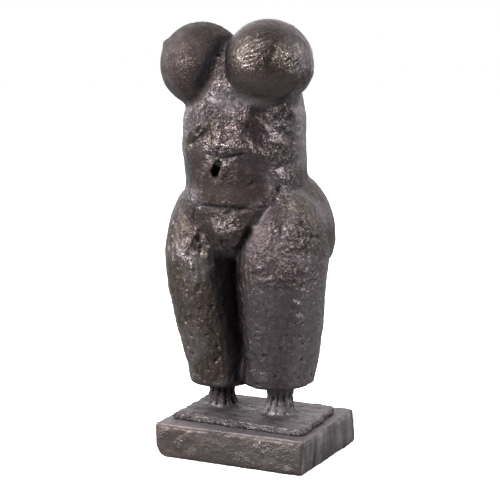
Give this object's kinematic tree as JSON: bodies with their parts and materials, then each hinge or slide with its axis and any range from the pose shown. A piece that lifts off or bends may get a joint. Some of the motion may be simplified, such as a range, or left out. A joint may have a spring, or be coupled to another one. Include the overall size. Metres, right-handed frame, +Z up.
{
  "type": "bronze torso sculpture",
  "caption": "Cast bronze headless standing torso with round breasts and tapering legs on stump feet, on a thin rough terrace and a low rectangular plinth.",
  "frame": {"origin": "middle of the plinth's underside", "axes": "+Z up, -Y out of the plinth's long front face, towards which the figure faces, +X towards the figure's left"},
  "size_m": [0.1738, 0.145, 0.4241],
  "materials": {
    "bronze_figure": "dark grey-brown patinated bronze, rough-worked, with rubbed highlights",
    "bronze_plinth": "dark grey-brown patinated bronze, mottled and scratched"
  },
  "bodies": {
    "root": {"torso_figure": "bronze_figure", "plinth": "bronze_plinth"}
  },
  "joints": []
}
